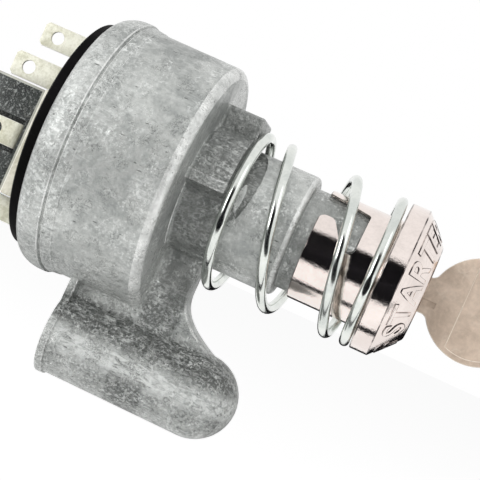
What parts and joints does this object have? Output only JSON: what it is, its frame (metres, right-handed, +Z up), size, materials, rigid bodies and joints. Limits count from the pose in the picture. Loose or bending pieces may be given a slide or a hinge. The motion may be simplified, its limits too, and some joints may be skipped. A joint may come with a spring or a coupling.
{
  "type": "ignition switch",
  "caption": "Panel ignition switch with a die-cast housing, side boss, coil spring, chromed bayonet ferrule, rotary contacts, spade terminals and a key in its lock.",
  "frame": {"origin": "on the barrel's axis, in the plane of the ferrule flange's rear face, where the front of the panel lies", "axes": "+Y runs along the barrel from the key to the terminals, +Z is up, the side boss hangs towards -Z and the key's blade stands upright"},
  "size_m": [0.0688, 0.1464, 0.0927],
  "materials": {
    "zinc_casting": "as-cast zinc with mottled grey patches",
    "black_moulding": "black phenolic moulding, satin",
    "brown_moulding": "brown phenolic moulding",
    "tinned_strip": "tin-plated brass strip, dull",
    "copper": "copper contact metal",
    "plated_wire": "bright zinc-plated spring wire",
    "chrome": "bright chrome plate",
    "spring_steel": "plain spring steel",
    "plug_metal": "plated die-cast metal",
    "brass": "brass strip",
    "key_metal": "nickel-silver with a brownish tone"
  },
  "bodies": {
    "switch_body": {"housing": "zinc_casting", "terminal_plate": "black_moulding", "upper_terminal": "tinned_strip", "near_terminal": "tinned_strip", "lower_terminal": "tinned_strip", "block_terminal": "tinned_strip", "contact_rivet_1": "copper", "contact_rivet_2": "copper", "contact_rivet_3": "copper", "contact_rivet_4": "copper", "ferrule_spring": "plated_wire", "plug_clip": "spring_steel"},
    "ferrule": {"ferrule": "chrome"},
    "lock_cylinder": {"lock_plug": "plug_metal", "wafer_1": "brass", "wafer_2": "brass", "wafer_3": "brass", "wafer_4": "brass", "wafer_5": "brass", "drive_shaft": "plug_metal", "return_spring": "spring_steel", "contact_carrier": "brown_moulding", "detent_ball_1": "spring_steel", "detent_ball_2": "spring_steel", "detent_spring_1": "spring_steel", "detent_spring_2": "spring_steel", "contact_spring": "spring_steel", "contact_bridge": "copper"},
    "key": {"key": "key_metal"}
  },
  "joints": [
    {"name": "key_turn", "type": "hinge", "parent": "switch_body", "child": "lock_cylinder", "pos_m": [0, 0, 0], "axis": [0, 1, 0], "range_deg": [-35, 65]},
    {"name": "key_withdraw", "type": "slide", "parent": "lock_cylinder", "child": "key", "axis": [0, -1, 0], "range_m": [0, 0.028]},
    {"name": "ferrule_twist", "type": "hinge", "parent": "switch_body", "child": "ferrule", "pos_m": [0, 0, 0], "axis": [0, -1, 0], "range_deg": [0, 28]}
  ]
}
